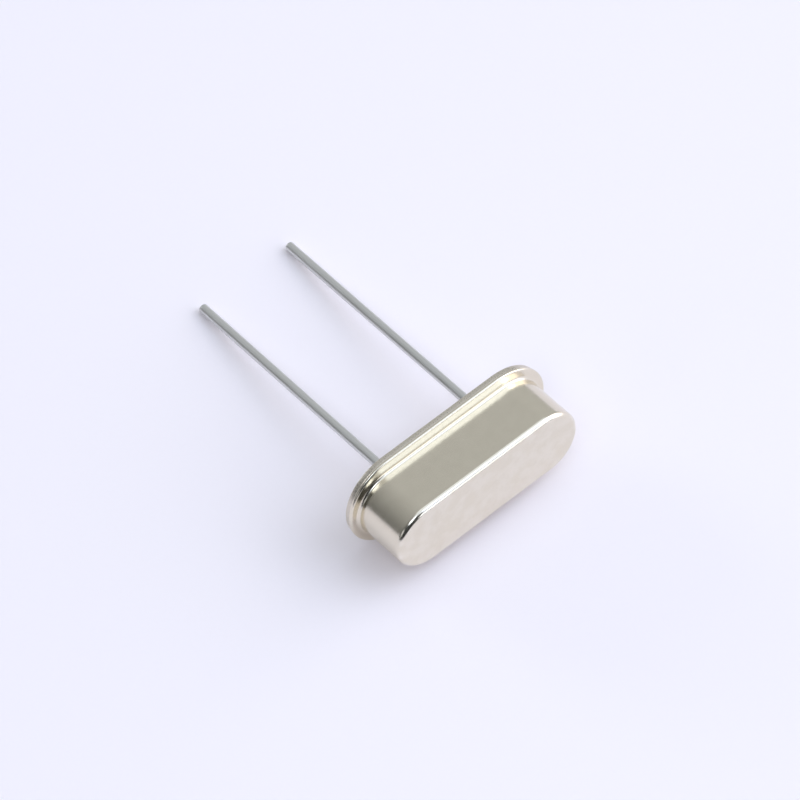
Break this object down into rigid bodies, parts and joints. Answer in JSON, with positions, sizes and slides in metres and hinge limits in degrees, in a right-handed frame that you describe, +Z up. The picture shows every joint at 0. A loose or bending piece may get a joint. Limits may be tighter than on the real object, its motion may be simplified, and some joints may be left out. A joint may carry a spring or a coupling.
{
  "type": "crystal oscillator",
  "caption": "Low-profile quartz crystal unit: oval drawn metal can with a flange, stamped base and long parallel wire leads through glass seals, lying on its side.",
  "frame": {"origin": "on the table, under the middle of the box that holds the unit as it lies", "axes": "+Z up; +X from the left lead to the right lead; +Y towards the free ends of the leads; the can's closed end faces -Y"},
  "size_m": [0.0108, 0.0166, 0.0046],
  "materials": {
    "can_metal": "satin",
    "base_metal": "satin",
    "seal_glass": "gloss",
    "tinned_wire": "satin",
    "clip_strip": "satin",
    "quartz": "gloss",
    "silver_film": "polished",
    "silver_adhesive": "matte"
  },
  "bodies": {
    "root": {"can": "can_metal", "base": "base_metal", "glass_seal_left": "seal_glass", "glass_seal_right": "seal_glass", "lead_left": "tinned_wire", "lead_right": "tinned_wire", "spring_clip_left": "clip_strip", "spring_clip_right": "clip_strip", "quartz_blank": "quartz", "electrode_upper": "silver_film", "electrode_lower": "silver_film", "adhesive_left": "silver_adhesive", "adhesive_right": "silver_adhesive"}
  },
  "joints": []
}
